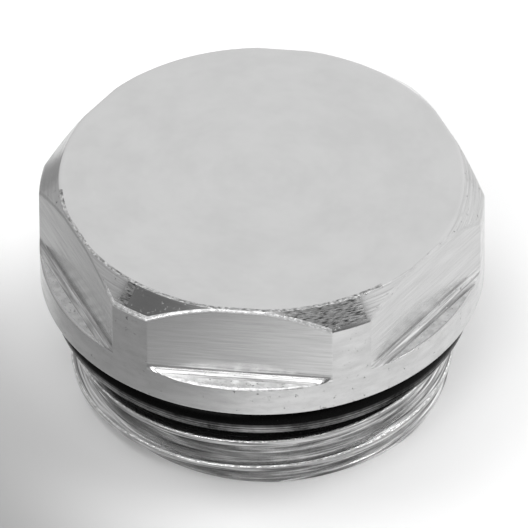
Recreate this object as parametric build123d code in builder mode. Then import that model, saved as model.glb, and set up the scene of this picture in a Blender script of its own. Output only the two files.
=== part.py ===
"""Radiator blanking plug: a turned brass body with six milled spanner flats and a right-hand pipe thread,
and the rubber ring that seals it under the head. Millimetres, +Z up, standing on its threaded end."""
import math
import os

from build123d import *
from build123d.topology import SkipClean

# Head: six spanner flats milled into a round blank, with a full round band left below them
across_flats = 22.0
flat_cut = 1.1
head_h = 6.45
band_h = 1.85
top_chamfer_angle = 45.0
cutter_corner_r = 0.4

# Shank: half-inch parallel pipe thread, a sharp V cut off by one sixth of its height at crest and root
shank_l = 6.7
thread_d = 20.955
thread_pitch = 1.814
thread_angle = 55.0
thread_start = 0.502
end_chamfer = 0.5

# Sealing ring, stretched into a groove close under the head
ring_section_d = 2.5
groove_depth = 1.5
ring_side_play = 0.1

# Blind recess drilled up from the threaded end
shank_wall = 2.5
top_wall = 2.1
drill_point_angle = 118.0
mouth_chamfer = 0.4

# The top chamfer's circle just touches the middle of each flat
flat_y = across_flats / 2
head_r = flat_y + flat_cut
thread_r = thread_d / 2
groove_r = thread_r - groove_depth
recess_r = groove_r - shank_wall
top_z = shank_l + head_h
ledge_z = shank_l + band_h
groove_z = shank_l - ring_section_d - ring_side_play
chamfer_z = top_z - flat_cut * math.tan(math.radians(top_chamfer_angle))
point_h = recess_r / math.tan(math.radians(drill_point_angle / 2))
recess_z = top_z - top_wall - point_h

# The cutter that mills one flat: its rounded corner leaves a fillet on the ledge
with BuildPart() as flat_cutter:
    with BuildSketch(Plane.YZ):
        with BuildLine():
            Line((flat_y, top_z + head_h), (flat_y, ledge_z + cutter_corner_r))
            RadiusArc(
                (flat_y, ledge_z + cutter_corner_r),
                (flat_y + cutter_corner_r, ledge_z),
                -cutter_corner_r,
            )
            Polyline(
                (flat_y + cutter_corner_r, ledge_z),
                (2 * head_r, ledge_z),
                (2 * head_r, top_z + head_h),
                (flat_y, top_z + head_h),
            )
        make_face()
    extrude(amount=head_r, both=True)

# Half a turn of the thread groove: a V with a flat root, swept along a right-hand helix
flank = math.tan(math.radians(thread_angle / 2))
root_w = thread_pitch / 6
thread_depth = (thread_pitch - 2 * root_w) / (2 * flank)
over_cut = thread_depth / 6
mouth_w = root_w + 2 * (thread_depth + over_cut) * flank
with BuildPart() as thread_cutter:
    with BuildLine():
        thread_path = Helix(thread_pitch, thread_pitch / 2, thread_r)
    with BuildSketch(Plane.XZ):
        with BuildLine():
            Polyline(
                (thread_r - thread_depth, -root_w / 2),
                (thread_r + over_cut, -mouth_w / 2),
                (thread_r + over_cut, mouth_w / 2),
                (thread_r - thread_depth, root_w / 2),
                close=True,
            )
        make_face()
    sweep(path=thread_path, is_frenet=True)

# The shank is threaded in eighths, each cut once per turn by a half turn centred on it.
# This keeps every stretch of crest a short cylindrical face, which a gauge or a mating part can find.
turns = math.ceil(groove_z / thread_pitch + 0.5 + thread_start)
shank_eighths = []
for eighth in range(8):
    with BuildPart() as shank_eighth:
        with BuildSketch(Plane.XZ.rotated((0, 0, 45 * eighth))):
            with BuildLine():
                Polyline(
                    (0, -thread_pitch),
                    (thread_r, -thread_pitch),
                    (thread_r, shank_l),
                    (0, shank_l),
                    close=True,
                )
            make_face()
        revolve(axis=Axis.Z, revolution_arc=45)
        cut_start = 45 * eighth - 67.5
        for turn in range(-1, turns):
            lift = thread_pitch * (turn + cut_start / 360 - thread_start)
            with Locations(Location((0, 0, lift), (0, 0, cut_start))):
                add(thread_cutter.part, mode=Mode.SUBTRACT)
    shank_eighths.append(shank_eighth.part)

with BuildPart() as plug_body:
    # Head blank with its top chamfer, left long below so that the groove cut faces its underside
    with BuildSketch(Plane.XZ):
        with BuildLine():
            Polyline(
                (0, (groove_z + shank_l) / 2),
                (head_r, (groove_z + shank_l) / 2),
                (head_r, chamfer_z),
                (flat_y, top_z),
                (0, top_z),
                close=True,
            )
        make_face()
    revolve(axis=Axis.Z)
    with PolarLocations(0, 6):
        add(flat_cutter.part, mode=Mode.SUBTRACT)

    # From here on the faces of the eighths stay apart
    with SkipClean():
        add(shank_eighths)

        # Groove for the sealing ring
        with BuildSketch(Plane.XZ):
            with BuildLine():
                Polyline(
                    (groove_r, groove_z),
                    (2 * head_r, groove_z),
                    (2 * head_r, shank_l),
                    (groove_r, shank_l),
                    close=True,
                )
            make_face()
        revolve(axis=Axis.Z, mode=Mode.SUBTRACT)

        # The threaded end is faced off, with a lead-in chamfer
        with BuildSketch(Plane.XZ):
            with BuildLine():
                Polyline(
                    (0, 0),
                    (thread_r - end_chamfer, 0),
                    (thread_r + shank_l, end_chamfer + shank_l),
                    (thread_r + shank_l, -shank_l),
                    (0, -shank_l),
                    close=True,
                )
            make_face()
        revolve(axis=Axis.Z, mode=Mode.SUBTRACT)

        # Blind recess with its drill point
        with BuildSketch(Plane.XZ):
            with BuildLine():
                Polyline(
                    (0, -mouth_chamfer),
                    (recess_r + 2 * mouth_chamfer, -mouth_chamfer),
                    (recess_r, mouth_chamfer),
                    (recess_r, recess_z),
                    (0, recess_z + point_h),
                    close=True,
                )
            make_face()
        revolve(axis=Axis.Z, mode=Mode.SUBTRACT)

# The ring bears on the groove's root and on the underside of the head
with BuildPart() as o_ring:
    with Locations((0, 0, shank_l - ring_section_d / 2)):
        Torus(groove_r + ring_section_d / 2, ring_section_d / 2)

plug_body.part.label = "plug_body"
o_ring.part.label = "o_ring"

os.makedirs("parts", exist_ok=True)
export_step(plug_body.part, "parts/plug_body.step")
export_step(o_ring.part, "parts/o_ring.step")
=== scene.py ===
# %% [markdown]
# # A chromed blanking plug
# The plug closes an unused tapping: a hexagon-sided head to turn it by, a rubber ring that seals it and a
# short pipe thread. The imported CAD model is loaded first, because every piece made here has to lie exactly
# where its solid lies.

# %% Load the frame
import math

import bmesh
import bpy
import numpy as np
from mathutils import Matrix, Vector


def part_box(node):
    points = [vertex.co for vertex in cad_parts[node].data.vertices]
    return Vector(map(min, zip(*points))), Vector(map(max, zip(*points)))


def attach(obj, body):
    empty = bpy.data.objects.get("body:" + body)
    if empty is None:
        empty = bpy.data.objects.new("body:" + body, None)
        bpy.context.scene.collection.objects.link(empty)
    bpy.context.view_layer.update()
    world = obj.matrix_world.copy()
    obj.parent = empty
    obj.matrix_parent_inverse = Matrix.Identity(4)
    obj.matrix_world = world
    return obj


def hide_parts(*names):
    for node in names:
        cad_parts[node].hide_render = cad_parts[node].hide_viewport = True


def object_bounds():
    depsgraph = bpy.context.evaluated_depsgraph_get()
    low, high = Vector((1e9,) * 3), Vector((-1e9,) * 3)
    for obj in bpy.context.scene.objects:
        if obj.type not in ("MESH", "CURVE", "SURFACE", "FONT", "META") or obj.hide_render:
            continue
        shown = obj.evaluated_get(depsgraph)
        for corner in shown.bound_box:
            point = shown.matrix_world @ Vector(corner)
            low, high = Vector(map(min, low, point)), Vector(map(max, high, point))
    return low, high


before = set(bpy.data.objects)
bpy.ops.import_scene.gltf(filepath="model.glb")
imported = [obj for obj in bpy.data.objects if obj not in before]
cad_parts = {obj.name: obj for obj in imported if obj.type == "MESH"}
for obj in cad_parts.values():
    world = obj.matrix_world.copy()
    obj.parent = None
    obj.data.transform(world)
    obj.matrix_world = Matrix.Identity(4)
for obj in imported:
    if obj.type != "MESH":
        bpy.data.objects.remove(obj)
cad_box = [list(corner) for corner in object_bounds()]
MM = 0.001
print("CAD box in mm", [[round(c / MM, 2) for c in corner] for corner in cad_box])

# %% [markdown]
# ## Camera
# The plug was photographed from about 41 degrees above the bench and a little to the right of one flat,
# from so far away that its edges hardly converge. A very long lens at 0.9 m gives the same perspective. The
# angles come from fitting the outline of the head and the thread to the picture, so no lens shift is
# needed.

# %% Place the camera
view_azimuth, view_elevation, view_roll = (math.radians(a) for a in (6.514, 40.905, -0.391))
view_distance = 904.52
view_aside, view_above = 0.099, 0.340
picture_px, focal_px = 528, 16608.2
right = Vector((math.cos(view_azimuth), math.sin(view_azimuth), 0))
back = Vector((
    math.sin(view_azimuth) * math.cos(view_elevation),
    -math.cos(view_azimuth) * math.cos(view_elevation),
    math.sin(view_elevation),
))
up = back.cross(right)
middle = Vector((0, 0, cad_box[1][2] / 2 / MM))
stand_point = middle + right * view_aside + up * view_above + back * view_distance

camera = bpy.data.objects.new("camera", bpy.data.cameras.new("camera"))
camera.data.sensor_width = 36
camera.data.lens = camera.data.sensor_width * focal_px / picture_px
camera.data.clip_end = 10
turned_right = right * math.cos(view_roll) + up * math.sin(view_roll)
turned_up = up * math.cos(view_roll) - right * math.sin(view_roll)
axes = Matrix((turned_right, turned_up, back)).transposed().to_4x4()
camera.matrix_world = Matrix.Translation(stand_point * MM) @ axes
bpy.context.scene.collection.objects.link(camera)
bpy.context.scene.camera = camera
bpy.context.scene.view_settings.view_transform = "Standard"
print("camera", [round(c, 1) for c in stand_point], "mm, lens", round(camera.data.lens), "mm")

# %% [markdown]
# ## Sizes
# The outside sizes are read from the CAD boxes of the body and the ring. The few that a box can't show,
# such as the depth of the flats or the thread's pitch, are the same named sizes as in the part's source.

# %% Sizes in millimetres
flat_cut, band_h, ledge_fillet = 1.1, 1.85, 0.4
thread_r, pitch, flank_angle, thread_start, end_chamfer = 10.4775, 1.814, 27.5, 0.502, 0.5
ring_side_play, shank_wall, top_wall, mouth_chamfer, drill_half_angle = 0.1, 2.5, 2.1, 0.4, 59
body_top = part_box("plug_body")[1] / MM
ring_low, ring_high = (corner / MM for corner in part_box("o_ring"))
head_r, top_z = body_top.x, body_top.z
flat_y = head_r - flat_cut
rim_z = ring_high.z
ledge_z = rim_z + band_h
ring_section = ring_high.z - ring_low.z
groove_r = ring_high.x - ring_section
groove_z = ring_low.z - ring_side_play
recess_r = groove_r - shank_wall
recess_tip_z = top_z - top_wall
recess_z = recess_tip_z - recess_r / math.tan(math.radians(drill_half_angle))
print("head radius", round(head_r, 3), "ledge height", round(ledge_z, 3))
print("groove radius", round(groove_r, 4), "from", round(groove_z, 3), "to", round(rim_z, 3))

# %% [markdown]
# ## From a grid to a mesh
# Both pieces are surfaces over a grid: one parameter runs along a profile, the other goes round the axis. A
# lathe would be modelled with the Screw modifier, but that makes plain round bodies only, and this one has
# flats and a helix. One small function turns any grid of points into a mesh object. It joins the points
# that fall together at the seam and the poles, so that the skin is closed.

# %% Grid to mesh
# Points this close are one and edges this short are none, in mm; an edge that turns more is sharp, in degrees
same_place, no_length, crease_angle = 0.0008, 0.0002, 40


def skin(name, points, face_finish, finishes):
    """An object from a grid of points in mm, rows x columns x 3: each face joins row i and i + 1, column j
    and j + 1, and face_finish, rows - 1 x columns - 1, says which of the finishes it wears."""
    rows, columns = points.shape[:2]
    number = np.arange(rows * columns).reshape(rows, columns)
    quads = np.stack([number[:-1, :-1], number[1:, :-1], number[1:, 1:], number[:-1, 1:]], axis=-1)
    mesh = bpy.data.meshes.new(name)
    mesh.from_pydata((points * MM).reshape(-1, 3), [], quads.reshape(-1, 4).tolist())
    mesh.polygons.foreach_set("material_index", face_finish.astype(np.int32).ravel())
    grid = bmesh.new()
    grid.from_mesh(mesh)
    bmesh.ops.remove_doubles(grid, verts=grid.verts, dist=same_place * MM)
    bmesh.ops.dissolve_degenerate(grid, edges=grid.edges, dist=no_length * MM)
    open_edges = sum(not edge.is_manifold for edge in grid.edges)
    grid.to_mesh(mesh)
    grid.free()
    mesh.polygons.foreach_set("use_smooth", np.ones(len(mesh.polygons), bool))
    mesh.set_sharp_from_angle(angle=math.radians(crease_angle))
    for finish in finishes:
        mesh.materials.append(finish)
    piece = bpy.data.objects.new(name, mesh)
    bpy.context.scene.collection.objects.link(piece)
    mesh.calc_loop_triangles()
    print(name, len(mesh.loop_triangles), "triangles,", open_edges, "open edges")
    return piece


# %% [markdown]
# ## One small shader helper
# Every finish is a handful of shader nodes. One function adds a node, sets its options and fills its
# inputs, either with plain values or with links from other nodes. Colours are written as sRGB hex and
# turned to the linear values that the shader mixes.

# %% Shader helper
def add_node(tree, kind, inputs=None, **options):
    """Adds a node of this kind, sets its options, and links or fills the inputs, named or numbered."""
    made = tree.nodes.new(kind)
    for option, value in options.items():
        setattr(made, option, value)
    for socket, value in (inputs or {}).items():
        if isinstance(value, bpy.types.NodeSocket):
            tree.links.new(value, made.inputs[socket])
        else:
            made.inputs[socket].default_value = value
    return made


def linear(code):
    """Linear RGBA from an sRGB hex code: each channel to a power if it is bright, divided if it is dark."""
    channels = [int(code[i:i + 2], 16) / 255 for i in (1, 3, 5)]
    return [((c + 0.055) / 1.055) ** 2.4 if c > 0.04045 else c / 12.92 for c in channels] + [1]


def new_finish(name):
    """An empty material, and its node tree to fill."""
    finish = bpy.data.materials.new(name)
    finish.use_nodes = True
    finish.node_tree.nodes.clear()
    return finish, finish.node_tree


# %% [markdown]
# ## Chrome over tool marks
# The whole body wears one bright chrome plate. Chrome has hardly any colour of its own, so what it shows is
# the room. What tells the faces apart is what lies under the plate, because plating copies every mark of
# the tool: a lathe leaves fine rings, a milling cutter leaves level streaks, and its blunt corner tears the
# ledge. So all the chrome finishes share one recipe, and only the length, width and depth of the marks
# differ. The same noise drives the tone, the gloss and the relief, as one scratch changes all three. Real
# tool marks are a few hundredths of a millimetre wide; the narrowest drawn here are wider, so that the
# picture can hold them.

# %% Chrome recipe
# Noise levels at the dark and the light end of a mark, and the step over which a speck sets in
mark_low, mark_high, speck_rise = 0.36, 0.64, 0.06


def chrome(name, tones, marks, gloss, relief, milled=False, specks=None):
    """Chrome plate over tool marks, which are marks[0] mm long and marks[1] mm wide and run round the
    axis, or level if milled. tones are the dark and the light of the plate, gloss the least and the most
    roughness and relief the depth of a mark in mm. specks are torn spots: their size in mm, the noise level
    where they begin, their tone and their depth in mm."""
    finish, tree = new_finish(name)
    place = add_node(tree, "ShaderNodeTexCoord").outputs["Object"]
    x, y, across = add_node(tree, "ShaderNodeSeparateXYZ", {"Vector": place}).outputs
    if not milled:
        level = add_node(tree, "ShaderNodeCombineXYZ", {"X": x, "Y": y}).outputs["Vector"]
        radius = add_node(tree, "ShaderNodeVectorMath", {0: level}, operation="LENGTH").outputs["Value"]
        from_axis = add_node(tree, "ShaderNodeMath", {0: across, 1: radius}, operation="SUBTRACT")
        across = from_axis.outputs["Value"]
    lay = add_node(tree, "ShaderNodeCombineXYZ", {"X": x, "Y": y, "Z": across}).outputs["Vector"]
    per_mark = [1 / (marks[0] * MM), 1 / (marks[0] * MM), 1 / (marks[1] * MM)]
    scaled = add_node(tree, "ShaderNodeVectorMath", {0: lay, 1: per_mark}, operation="MULTIPLY")
    mark = add_node(tree, "ShaderNodeTexNoise", {
        "Vector": scaled.outputs["Vector"], "Scale": 1, "Detail": 4, "Roughness": 0.6,
    }).outputs["Fac"]
    spread = {"Value": mark, "From Min": mark_low, "From Max": mark_high}
    share = add_node(tree, "ShaderNodeMapRange", spread).outputs["Result"]
    tone = add_node(tree, "ShaderNodeMix", {
        "Factor": share, "A": linear(tones[0]), "B": linear(tones[1]),
    }, data_type="RGBA").outputs["Result"]
    dull = add_node(tree, "ShaderNodeMapRange", spread | {
        "To Min": gloss[1], "To Max": gloss[0],
    }).outputs["Result"]
    bumps = add_node(tree, "ShaderNodeBump", {
        "Height": mark, "Strength": 1, "Distance": relief * MM,
    }).outputs["Normal"]
    if specks:
        size, begin, speck_tone, depth = specks
        spot = add_node(tree, "ShaderNodeTexNoise", {
            "Vector": place, "Scale": 1 / (size * MM), "Detail": 2, "Roughness": 0.7,
        }).outputs["Fac"]
        torn = add_node(tree, "ShaderNodeMapRange", {
            "Value": spot, "From Min": begin, "From Max": begin + speck_rise,
        }).outputs["Result"]
        tone = add_node(tree, "ShaderNodeMix", {
            "Factor": torn, "A": tone, "B": linear(speck_tone),
        }, data_type="RGBA").outputs["Result"]
        bumps = add_node(tree, "ShaderNodeBump", {
            "Height": torn, "Strength": 1, "Distance": depth * MM, "Normal": bumps,
        }).outputs["Normal"]
    plate = add_node(tree, "ShaderNodeBsdfPrincipled", {
        "Base Color": tone, "Metallic": 1, "Roughness": dull, "Normal": bumps,
    })
    add_node(tree, "ShaderNodeOutputMaterial", {"Surface": plate.outputs["BSDF"]})
    print(name, "marks", marks, "mm, roughness", gloss)
    return finish


# %% [markdown]
# ## Turned and milled faces
# The top and the round sides came off the lathe and were polished a little before plating, so they are
# clear mirrors with a faint cloudiness. The chamfer kept its turning rings, and two stretches of it have
# been scuffed by a tool. The flats show the level streaks of the milling cutter.

# %% Finishes of the faces
finishes = {
    # Faced and polished: an almost clear, slightly cloudy mirror
    "top": chrome("chrome_on_faced_top", ("#C6C6C6", "#CACACA"), (3, 3), (0.08, 0.16), 0.006),
    # Turned and polished: a soft mirror with a few small pits
    "side": chrome(
        "chrome_on_turned_side", ("#BCBCBC", "#CACACA"), (1.5, 0.5), (0.16, 0.26), 0.003,
        specks=(0.3, 0.665, "#848484", 0.008),
    ),
    # Turned and left so: rings that streak the reflection, and dark nicks
    "chamfer": chrome(
        "chrome_on_turned_chamfer", ("#B4B4B4", "#CACACA"), (3, 0.08), (0.1, 0.2), 0.001,
        specks=(0.2, 0.66, "#6A6A6A", 0.015),
    ),
    # Scuffed along the rings: short dark and bright cuts
    "scuff": chrome(
        "chrome_on_scuffed_chamfer", ("#404040", "#D4D4D4"), (0.4, 0.1), (0.22, 0.4), 0.006,
    ),
    # Milled: fine level streaks
    "flat": chrome(
        "chrome_on_milled_flat", ("#BCBCBC", "#CACACA"), (2.5, 0.1), (0.16, 0.26), 0.001, milled=True,
    ),
    # Cut by the corner of the milling cutter: a few bright and dull lines
    "fillet": chrome(
        "chrome_on_cutter_fillet", ("#969696", "#DADADA"), (3, 0.07), (0.14, 0.24), 0.001, milled=True,
        specks=(0.2, 0.66, "#8A8A8A", 0.006),
    ),
    # Torn by the end of the cutter: matt and pale, with dark pits
    "ledge": chrome(
        "chrome_on_torn_ledge", ("#CCCCCC", "#F0F0F0"), (0.5, 0.3), (0.3, 0.45), 0.01, milled=True,
        specks=(0.18, 0.63, "#848484", 0.012),
    ),
}

# %% [markdown]
# ## Edges, thread and bore
# The front edges were left with a tiny burr, which the plate turns into a row of beads. The thread was cut
# in one pass, so its flanks are streaky along the helix and its crests are ragged. The bore was drilled and
# hardly takes any plate.

# %% Finishes of the edges, thread and bore
finishes |= {
    # Burred: soft beads that spread a lamp along the edge
    "edge": chrome(
        "chrome_on_burred_edge", ("#BCBCBC", "#F0F0F0"), (0.25, 0.25), (0.26, 0.42), 0.045,
    ),
    # The top's own edge, turned last: dark and light beads
    "rim": chrome("chrome_on_turned_rim", ("#747474", "#D8D8D8"), (0.22, 0.22), (0.3, 0.45), 0.02),
    # Cut thread: dark and light streaks along the flanks
    "thread": chrome("chrome_on_cut_thread", ("#6C6C6C", "#ECECEC"), (4.5, 0.16), (0.12, 0.3), 0.004),
    # Ragged crests: bright, broken lines
    "crest": chrome("chrome_on_thread_crest", ("#A0A0A0", "#FCFCFC"), (0.25, 0.15), (0.15, 0.35), 0.03),
    # Drilled: dull and greyer
    "bore": chrome("chrome_on_drilled_bore", ("#9C9C9C", "#B4B4B4"), (2, 0.2), (0.3, 0.5), 0.004),
}

# %% [markdown]
# ## Rubber
# The ring is moulded nitrile rubber, black from carbon. Its skin stays almost black. Where it bulges out,
# a paler base colour on a belt paints the grey sheen that the lit table leaves in the rubber: a painted
# sheen. It gathers in fine level lines of painted highlight, and a coarse noise makes it come and go along
# the ring. A finer grain roughens the whole skin.

# %% Painted sheen on the ring
# In mm above the ring's underside: where the painted sheen begins, is full, starts to fade and has gone
painted_sheen_belt = (0.35, 0.6, 1.0, 1.25)
patch_size, patch_shift, line_gap = 6, (4 * MM, 0, 0), 0.2
patch_low, patch_high, between_lines = 0.4, 0.62, 0.3
seal_rubber, tree = new_finish("nitrile_rubber_moulded")
place = add_node(tree, "ShaderNodeTexCoord").outputs["Object"]
height = add_node(tree, "ShaderNodeSeparateXYZ", {"Vector": place}).outputs["Z"]
belt_z = [(ring_low.z + edge) * MM for edge in painted_sheen_belt]
above = add_node(tree, "ShaderNodeMapRange", {
    "Value": height, "From Min": belt_z[0], "From Max": belt_z[1],
}).outputs["Result"]
below = add_node(tree, "ShaderNodeMapRange", {
    "Value": height, "From Min": belt_z[2], "From Max": belt_z[3], "To Min": 1, "To Max": 0,
}).outputs["Result"]
moved = add_node(tree, "ShaderNodeVectorMath", {0: place, 1: patch_shift}, operation="ADD")
patches = add_node(tree, "ShaderNodeTexNoise", {
    "Vector": moved.outputs["Vector"], "Scale": 1 / (patch_size * MM), "Detail": 6, "Roughness": 0.7,
}).outputs["Fac"]
patchy = add_node(tree, "ShaderNodeMapRange", {
    "Value": patches, "From Min": patch_low, "From Max": patch_high,
}).outputs["Result"]
# Painted highlights: fine bright level lines in the painted sheen, one line gap apart
to_line = add_node(tree, "ShaderNodeMath", {
    0: height, 1: line_gap / 2 * MM,
}, operation="PINGPONG").outputs["Value"]
lines = add_node(tree, "ShaderNodeMapRange", {
    "Value": to_line, "From Max": line_gap / 4 * MM, "To Min": 1, "To Max": between_lines,
}).outputs["Result"]
belt = add_node(tree, "ShaderNodeMath", {0: above, 1: below}, operation="MULTIPLY").outputs["Value"]
lined = add_node(tree, "ShaderNodeMath", {0: belt, 1: lines}, operation="MULTIPLY").outputs["Value"]
painted_sheen = add_node(tree, "ShaderNodeMath", {0: lined, 1: patchy}, operation="MULTIPLY").outputs["Value"]
print("bloom between", round(belt_z[0] / MM, 2), "and", round(belt_z[3] / MM, 2), "mm")

# %% Rubber skin
# Moulded and hardly shiny: black where it is bare, grey where the sheen is painted, with a fine grain all
# over
rubber_black, painted_sheen_grey = linear("#030303"), linear("#C0C0C0")
grain_size, pore_depth, rubber_gloss = 0.25, 0.008, (0.2, 0.35)
grain = add_node(tree, "ShaderNodeTexNoise", {
    "Vector": place, "Scale": 1 / (grain_size * MM), "Detail": 4, "Roughness": 0.6,
}).outputs["Fac"]
# Painted sheen: the base colour turns from black to grey on the belt
tone = add_node(tree, "ShaderNodeMix", {
    "Factor": painted_sheen, "A": rubber_black, "B": painted_sheen_grey,
}, data_type="RGBA").outputs["Result"]
dull = add_node(tree, "ShaderNodeMapRange", {
    "Value": grain, "From Min": 0.3, "From Max": 0.7, "To Min": rubber_gloss[0], "To Max": rubber_gloss[1],
}).outputs["Result"]
pores = add_node(tree, "ShaderNodeBump", {
    "Height": grain, "Strength": 1, "Distance": pore_depth * MM,
}).outputs["Normal"]
rubber = add_node(tree, "ShaderNodeBsdfPrincipled", {
    "Base Color": tone, "Roughness": dull, "Specular IOR Level": 0.04, "Normal": pores,
})
add_node(tree, "ShaderNodeOutputMaterial", {"Surface": rubber.outputs["BSDF"]})
print("rubber grain", grain_size, "mm, roughness", rubber_gloss)

# %% [markdown]
# ## Columns round the plug
# The head is round with six flats cut into it, so its radius changes with the angle. The columns crowd
# where a flat runs out into the round, because that is where the surface turns, and thin out on the flats
# between.

# %% Columns
flat_half = math.degrees(math.acos(flat_y / head_r))
turn_in = np.array([-0.7, -0.4, -0.24, -0.12, 0, 0.12, 0.24, 0.4, 0.7])
near_turn = 1.2
on_the_flat = np.linspace(0, flat_half - near_turn, 24)
to_the_corner = np.linspace(flat_half + near_turn, 30, 4)
half_sector = np.concatenate([on_the_flat, flat_half + turn_in, to_the_corner])
sector = np.concatenate([-half_sector[::-1], half_sector[1:-1]])
angle = np.append(np.concatenate([30 + 60 * k + sector for k in range(6)]), 360.0)
off_flat = np.radians(np.mod(angle, 60) - 30)
print("columns", len(angle), "flat runs to", round(flat_half, 2), "degrees either side")

# %% [markdown]
# ## Head
# From the top centre out and down: the flat top, the chamfer that was turned before the flats were milled,
# the wall, the fillet that the cutter's corner left, the ledge and the band that stayed round. Real edges
# are never sharp, and plating rounds them further, so every outside edge is a small arc that can catch the
# light. A Bevel modifier could round them too, but here each edge has its own radius, and the arcs are
# simply more rows.

# %% Head rows
def soft_min(a, b, blend):
    """The smaller of two lengths, with the corner between them rounded over a difference of blend."""
    share = np.clip(0.5 + 0.5 * (b - a) / blend, 0, 1)
    return b * (1 - share) + a * share - blend * share * (1 - share)


def stretch(start, end, shares):
    """Rows at these shares of the way from one row to another."""
    shares = np.asarray(shares, float)[:, None]
    return start * (1 - shares) + end * shares


def arc(centre_r, centre_z, radius, angles):
    """Rows on an arc in the plane through the axis: r and z are the centre's plus the radius times the sine
    and the cosine of the angle, so 0 points up and 90 points outwards."""
    a = np.radians(np.asarray(angles, float))[:, None]
    return centre_r + radius * np.sin(a), centre_z + radius * np.cos(a)


profile = []


def run(name, r, z):
    """Adds a stretch of rows to the profile, each row one value per column."""
    r, z = np.broadcast_arrays(r * one, z * one)
    profile.append((name, r, z))


one = np.ones_like(angle)
near_ends = [0.03, 0.5, 0.97]
flat_run_out = 0.02
top_edge_r, wall_edge_r, rim_r, ledge_edge_r = 0.04, 0.26, 0.1, 0.13
wall_r = soft_min(flat_y / np.cos(off_flat), head_r, flat_run_out)
half_turn, slant = math.tan(math.radians(22.5)), math.sqrt(0.5)
level_share = 1 - slant
crown_r = np.minimum(
    flat_y - half_turn * top_edge_r,
    wall_r - level_share * wall_edge_r - slant * top_edge_r,
)
shoulder_z = np.minimum(
    top_z - (wall_r - flat_y) - half_turn * wall_edge_r,
    top_z - level_share * top_edge_r - slant * wall_edge_r,
)
cone_start = (crown_r + slant * top_edge_r, (top_z - level_share * top_edge_r) * one)
cone_end = (wall_r - level_share * wall_edge_r, shoulder_z + slant * wall_edge_r)
run("top", stretch(0, crown_r, [0, 0.25, 0.5, 0.75, 0.92, 0.985]), top_z * np.ones((6, 1)))
run("top_edge", *arc(crown_r, top_z - top_edge_r, top_edge_r, [0, 15, 30, 45]))
run("chamfer", *(stretch(a, b, [0.08, 0.5, 0.92]) for a, b in zip(cone_start, cone_end)))
run("wall_edge", *arc(wall_r - wall_edge_r, shoulder_z, wall_edge_r, [45, 56.25, 67.5, 78.75, 90]))
run("wall", wall_r * np.ones((3, 1)), stretch(shoulder_z, ledge_z + ledge_fillet, near_ends))

# %% [markdown]
# ## Ledge and band
# Below the flats the blank stays round. The fillet's rows shift outwards as they go down, and where they
# would pass the round side they stay on it, so between two flats the ledge closes to nothing.

# %% Ledge and band rows
sweep = np.radians(np.linspace(0, 90, 8))[:, None]
fillet_flat = (flat_y + ledge_fillet * (1 - np.cos(sweep))) / np.cos(off_flat)
fillet_r = soft_min(fillet_flat, head_r, flat_run_out)
run("fillet", fillet_r, ledge_z + ledge_fillet * (1 - np.sin(sweep)))
ledge_round = np.minimum(ledge_edge_r, 0.5 * np.maximum(head_r - fillet_r[-1], 0))
run("ledge", stretch(fillet_r[-1], head_r - ledge_round, near_ends), ledge_z * np.ones((3, 1)))
run("ledge_edge", *arc(head_r - ledge_round, ledge_z - ledge_round, ledge_round, [0, 30, 60, 90]))
run("band", head_r * np.ones((3, 1)), stretch(ledge_z - ledge_round, rim_z + rim_r, near_ends))
run("rim", *arc(head_r - rim_r, rim_z + rim_r, rim_r, [90, 110, 135, 160, 180]))
run("underside", stretch(head_r - rim_r, groove_r, [0.04, 0.5, 0.96, 1]), rim_z * np.ones((4, 1)))
run("groove", groove_r * np.ones((4, 1)), stretch(rim_z, groove_z, [0.02, 0.5, 0.98, 1]))
print("head rows", sum(len(part[1]) for part in profile))

# %% [markdown]
# ## Thread
# A half-inch pipe thread: 14 ridges to the inch, flanks 55 degrees apart. Going round once, the ridge
# climbs by one pitch, so the rows climb with it and stay on the crests and roots. A Screw modifier would
# make a helix too, but it would leave its ends open. Here a row that would leave the shank, at the groove
# or at the end, is held there, and the held points fall together.

# %% Thread rows
flank_slope = math.tan(math.radians(flank_angle))
root_r = thread_r - (pitch / 2 - pitch / 6) / flank_slope
root_round, crest_round, end_round = 0.08, 0.06, 0.02


def thread_radius(z):
    """Radius of the thread at a height: a V groove with flats at its root and crest, one sixth of the pitch
    wide, shifted along by one pitch per turn, and cut off by the lead-in chamfer at the end."""
    phase = np.mod(z / pitch - angle / 360 + thread_start, 1)
    from_groove = np.minimum(phase, 1 - phase) * pitch
    flank = root_r + (from_groove - pitch / 12) / flank_slope
    r = -soft_min(-flank, -root_r, root_round)
    r = soft_min(r, thread_r, crest_round)
    return soft_min(r, thread_r - end_chamfer + z, end_round)


root_to_crest = [
    0, 0.05, 0.075, 0.09, 0.12, 0.18, 0.25, 0.32, 0.375, 0.395, 0.408, 0.4167, 0.426, 0.44, 0.46,
]
phases = np.array(root_to_crest + [0.5] + [1 - p for p in root_to_crest[:0:-1]])
steps = np.sort((phases - thread_start + np.arange(-2, 4)[:, None]).ravel())[::-1]
spare_step = 0.1
steps = steps[(steps > -1 - spare_step) & (steps < groove_z / pitch + spare_step)]
thread_z = np.clip(pitch * (steps[:, None] + angle / 360), 0, groove_z)
groove_wall = stretch(groove_r, thread_radius(groove_z * one), [0.06, 0.5, 0.94])
run("groove", groove_wall, groove_z * np.ones((3, 1)))
run("thread", thread_radius(thread_z), thread_z)
print("thread rows", len(steps), "root radius", round(root_r, 3))

# %% [markdown]
# ## End and recess
# The threaded end is faced flat, and a drill has hollowed the plug from below to save brass. Nothing of
# this shows in the picture, so it is kept simple: a wall, and the cone that the drill's point leaves.

# %% End and recess rows
mouth_r = recess_r + mouth_chamfer
short, long = [0.1, 0.9, 1], [0.04, 0.5, 0.96, 1]
run("end", stretch(thread_radius(0 * one), mouth_r, long), np.zeros((4, 1)))
run("mouth", stretch(mouth_r, recess_r, short), stretch(0, mouth_chamfer, short))
run("recess", recess_r * np.ones((4, 1)), stretch(mouth_chamfer, recess_z, long))
run("recess", stretch(recess_r, 0, long), stretch(recess_z, recess_tip_z, long))
print("profile rows", sum(len(part[1]) for part in profile))

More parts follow.
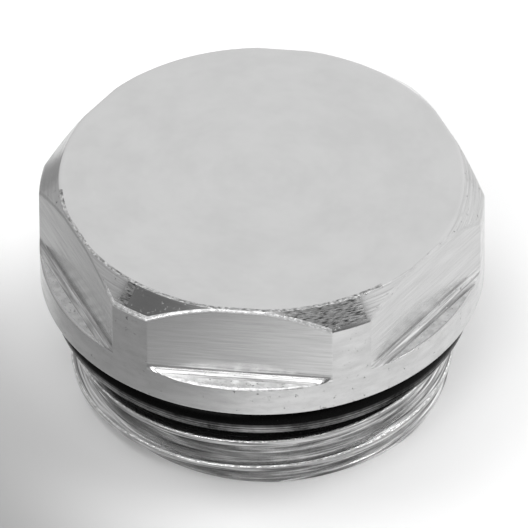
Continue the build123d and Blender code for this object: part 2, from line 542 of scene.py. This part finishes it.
# %% [markdown]
# ## The body
# All the rows are stacked and turned round the axis, which gives the whole body as one closed skin. Each
# face takes its finish from the stretch of the profile that it lies on.

# %% Body surface
body_r = np.concatenate([part[1] for part in profile])
body_z = np.concatenate([part[2] for part in profile])
turn = np.radians(angle)
body_points = np.stack([body_r * np.cos(turn), body_r * np.sin(turn), body_z], axis=-1)
row_names = np.concatenate([[part[0]] * len(part[1]) for part in profile])[1:]
zone_finish = {
    "top": "top", "top_edge": "rim", "chamfer": "chamfer", "wall_edge": "edge", "wall": "side",
    "fillet": "fillet", "ledge": "ledge", "ledge_edge": "edge", "band": "side", "rim": "side",
    "underside": "side", "groove": "side", "thread": "thread", "end": "thread", "mouth": "thread",
    "recess": "bore",
}
finish_number = {name: number for number, name in enumerate(finishes)}
row_finish = np.array([finish_number[zone_finish[name]] for name in row_names])
face_finish = np.repeat(row_finish[:, None], len(angle) - 1, axis=1)
print("body grid", body_points.shape[0], "rows,", body_points.shape[1], "columns")

# %% [markdown]
# ## Finishes that change round the plug
# Some rows wear more than one finish. The wall is milled on the flats and turned between them, and the
# fillet and ledge rows have closed to nothing there. The thread is ragged only on its crests. The chamfer
# has two scuffed stretches, and the beads and burrs of the edges are at the front. Vertex colours could
# mark all this too, but a material per face keeps every boundary sharp.

# %% Flats, ledges and crests
on_flat = np.abs(np.mod((angle[:-1] + angle[1:]) / 2, 60) - 30) < flat_half
face_finish[np.ix_(row_names == "wall", on_flat)] = finish_number["flat"]
closed_rows = np.isin(row_names, ["fillet", "ledge", "ledge_edge"])
face_finish[np.ix_(closed_rows, ~on_flat)] = finish_number["side"]
crest_edge, crest_half = 0.585, 0.03
crest_steps = np.abs(np.mod(steps + thread_start, 1) - crest_edge) < crest_half
full_height = thread_radius(thread_z)[:, :-1] > thread_r - crest_round
thread_rows, crest_columns = np.nonzero(crest_steps[:, None] & full_height)
first_thread_row = np.flatnonzero(row_names == "thread")[0]
face_finish[thread_rows + first_thread_row, crest_columns] = finish_number["crest"]
print("crest faces", len(thread_rows))

# %% Scuffs, beads and burrs, in degrees round the plug
scuffs = [(235.5, 238), (282, 304.5)]
scuffed = np.any([(angle[:-1] > start) & (angle[:-1] < end) for start, end in scuffs], axis=0)
face_finish[np.ix_(row_names == "chamfer", scuffed)] = finish_number["scuff"]
beads_start, beads_end = 190, 312
no_beads = (angle[:-1] < beads_start) | (angle[:-1] > beads_end)
face_finish[np.ix_(row_names == "top_edge", no_beads)] = finish_number["top"]
burrs_start, burrs_end = 230, 294.5
no_burrs = (angle[:-1] < burrs_start) | (angle[:-1] > burrs_end)
edge_rows = np.isin(row_names, ["wall_edge", "ledge_edge"])
face_finish[np.ix_(edge_rows, no_burrs)] = finish_number["side"]

# %% Body
plug_body = skin("plug_body_chromed", body_points, face_finish, list(finishes.values()))
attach(plug_body, "root")
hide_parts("plug_body")

# %% [markdown]
# ## Sealing ring
# A moulded ring of black nitrile rubber with a round section. It is a torus: one parameter goes round the
# section, the other round the ring. A torus primitive would do for a plain ring, but the lower outside of
# this one shows a few fine lines from the mould. They are shallow grooves, so its section is a circle with
# a few narrow dips.

# %% Ring
mould_lines = np.array([106.0, 117.0, 127.0])
line_depth, line_width = 0.05, 2.2
# Round the section in degrees from the top, with finer steps over the mould lines
above_lines, over_lines, below_lines = np.linspace(0, 95, 20), np.arange(96, 140), np.linspace(140, 360, 45)
tube_angle = np.concatenate([above_lines, over_lines, below_lines])[:, None]
dips = np.exp(-(((tube_angle - mould_lines) / line_width) ** 2)).sum(axis=1, keepdims=True)
tube_r = ring_section / 2
dipped_r = tube_r - line_depth * dips
tube = np.radians(tube_angle)
ring_columns = 193
ring_turn = np.radians(np.linspace(0, 360, ring_columns))
ring_r = groove_r + tube_r + dipped_r * np.sin(tube) * np.ones_like(ring_turn)
ring_z = (ring_low.z + tube_r + dipped_r * np.cos(tube)) * np.ones_like(ring_turn)
ring_points = np.stack([ring_r * np.cos(ring_turn), ring_r * np.sin(ring_turn), ring_z], axis=-1)
one_finish = np.zeros((ring_points.shape[0] - 1, ring_points.shape[1] - 1))
o_ring = skin("o_ring_rubber", ring_points, one_finish, [seal_rubber])
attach(o_ring, "root")
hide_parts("o_ring")

# %% [markdown]
# ## Floor
# A chrome part shows its surroundings. A flat mirrors the table before it, so on an even white table all
# the flats would be equally white and the head would lose its shape. The plug stands on one plain sheet of
# paper with a painted shadow: white on most of the table, and turning slowly to a pale grey towards the left
# front, where it stands in for the shade that the plug casts there, which the flats on the left and in front
# mirror. A grey card beside the plug would be stronger, but its edge would show in the chrome and on the
# table.

# %% Paper with a painted shadow
# Painted shadow: white where the table is lit, pale grey where the plug's shade would lie
white, painted_shadow_grey = linear("#FAFAFA"), linear("#A4A4A4")
painted_shadow_start, painted_shadow_end = 6.5, 20.5
to_left_front = Vector((-0.84, -0.54, 0)) / MM
paper, tree = new_finish("paper_with_painted_shadow")
place = add_node(tree, "ShaderNodeTexCoord").outputs["Object"]
along = add_node(tree, "ShaderNodeVectorMath", {0: place, 1: to_left_front}, operation="DOT_PRODUCT")
share = add_node(tree, "ShaderNodeMapRange", {
    "Value": along.outputs["Value"], "From Min": painted_shadow_start, "From Max": painted_shadow_end,
}, interpolation_type="SMOOTHSTEP").outputs["Result"]
# The paper's tone: white, with a painted shadow in grey towards the left front
paper_and_painted_shadow = add_node(tree, "ShaderNodeMix", {
    "Factor": share, "A": white, "B": painted_shadow_grey,
}, data_type="RGBA").outputs["Result"]
# Uncoated paper is fully matt, so that no lamp shows in it
matt = add_node(tree, "ShaderNodeBsdfPrincipled", {
    "Base Color": paper_and_painted_shadow, "Roughness": 0.9, "Specular IOR Level": 0.0,
})
add_node(tree, "ShaderNodeOutputMaterial", {"Surface": matt.outputs["BSDF"]})

far, lift = 1500, -0.01
corners = [(-far, -far), (far, -far), (far, far), (-far, far)]
sheet = bpy.data.meshes.new("floor")
sheet.from_pydata([(x * MM, y * MM, lift * MM) for x, y in corners], [], [(0, 1, 2, 3)])
sheet.materials.append(paper)
floor = bpy.data.objects.new("floor", sheet)
bpy.context.scene.collection.objects.link(floor)
print("floor", 2 * far, "mm wide, turning grey between", painted_shadow_start, "and", painted_shadow_end, "mm")

# %% [markdown]
# ## Room
# The rest of the room is the world's own light, by direction only. The walls behind and to the right are
# bright, the left one and the ceiling are dimmer, and the side where the camera stands is dark. The top
# mirrors the back wall, the chamfers in front mirror the dark side, and that contrast is what makes metal
# look like metal. A picture of a studio could be wrapped round the scene instead, but a few shades by
# direction are all that shows.

# %% Directions in the room
room_front = (-0.0654, -0.9979, 0)
front_shade, ceiling_shade = 0.2, 0.7
left_shade, right_shade = 0.62, 1.14
# Over which stretch of direction the front, the ceiling and the side walls change, from -1 to 1
front_edge, ceiling_edge, side_turn = (0.36, 0.40), (0.70, 0.76), (-0.6, 0.0)
world = bpy.data.worlds.new("studio")
bpy.context.scene.world = world
world.use_nodes = True
tree = world.node_tree
tree.nodes.clear()
way = add_node(tree, "ShaderNodeTexCoord").outputs["Generated"]
height = add_node(tree, "ShaderNodeSeparateXYZ", {"Vector": way}).outputs["Z"]
level = add_node(tree, "ShaderNodeVectorMath", {0: way, 1: (1, 1, 0)}, operation="MULTIPLY")
heading = add_node(tree, "ShaderNodeVectorMath", {
    0: level.outputs["Vector"],
}, operation="NORMALIZE").outputs["Vector"]
ahead = add_node(tree, "ShaderNodeVectorMath", {
    0: heading, 1: room_front,
}, operation="DOT_PRODUCT").outputs["Value"]
is_wall = add_node(tree, "ShaderNodeMapRange", {
    "Value": ahead, "From Min": front_edge[0], "From Max": front_edge[1], "To Min": 1, "To Max": 0,
}, interpolation_type="SMOOTHSTEP").outputs["Result"]
under_ceiling = add_node(tree, "ShaderNodeMapRange", {
    "Value": height, "From Min": ceiling_edge[0], "From Max": ceiling_edge[1], "To Min": 1, "To Max": 0,
}, interpolation_type="SMOOTHSTEP").outputs["Result"]
print("front side", front_edge, "ceiling", ceiling_edge)

# %% World
sideways = add_node(tree, "ShaderNodeSeparateXYZ", {"Vector": heading}).outputs["X"]
walls = add_node(tree, "ShaderNodeMapRange", {
    "Value": sideways, "From Min": side_turn[0], "From Max": side_turn[1],
    "To Min": left_shade, "To Max": right_shade,
}).outputs["Result"]
around = add_node(tree, "ShaderNodeMapRange", {
    "Value": is_wall, "To Min": front_shade, "To Max": walls,
}).outputs["Result"]
shade = add_node(tree, "ShaderNodeMapRange", {
    "Value": under_ceiling, "To Min": ceiling_shade, "To Max": around,
}).outputs["Result"]
sky = add_node(tree, "ShaderNodeBackground", {"Color": shade, "Strength": 1})
add_node(tree, "ShaderNodeOutputWorld", {"Surface": sky.outputs["Background"]})
print("walls from", left_shade, "on the left to", right_shade, "on the right")

# %% [markdown]
# ## Lamps
# Four softboxes. The two high ones at the sides light the floor and give the plug its soft shadow. The tall
# one in front shows in the front ledge and its fillet, which mirror it by way of the flat behind. The low
# strip from the left front draws the white line along the edges of the front flat.

# %% Lamps
lamp_distance = 1300


def softbox(name, azimuth, elevation, width, height, power):
    """A softbox, width x height in mm, that looks at the plug: its place is the plug's middle plus the lamp
    distance along the two angles in degrees. Azimuth 0 is in front of the plug and 90 to its right."""
    a, e = math.radians(azimuth), math.radians(elevation)
    way = Vector((math.sin(a) * math.cos(e), -math.cos(a) * math.cos(e), math.sin(e)))
    lamp = bpy.data.objects.new(name, bpy.data.lights.new(name, "AREA"))
    lamp.data.shape = "RECTANGLE"
    lamp.data.size = width * MM
    lamp.data.size_y = height * MM
    lamp.data.energy = power
    lamp.location = (middle + way * lamp_distance) * MM
    lamp.rotation_euler = way.to_track_quat("Z", "Y").to_euler()
    bpy.context.scene.collection.objects.link(lamp)
    print(name, "radiance", round(power / (math.pi * width * height * MM * MM), 2))


softbox("left_lamp", azimuth=-90, elevation=66, width=460, height=460, power=1.8)
softbox("right_lamp", azimuth=90, elevation=66, width=460, height=460, power=3.4)
softbox("front_lamp", azimuth=-6.5, elevation=57, width=500, height=1150, power=3.4)
softbox("strip_lamp", azimuth=-25, elevation=15, width=900, height=550, power=6)
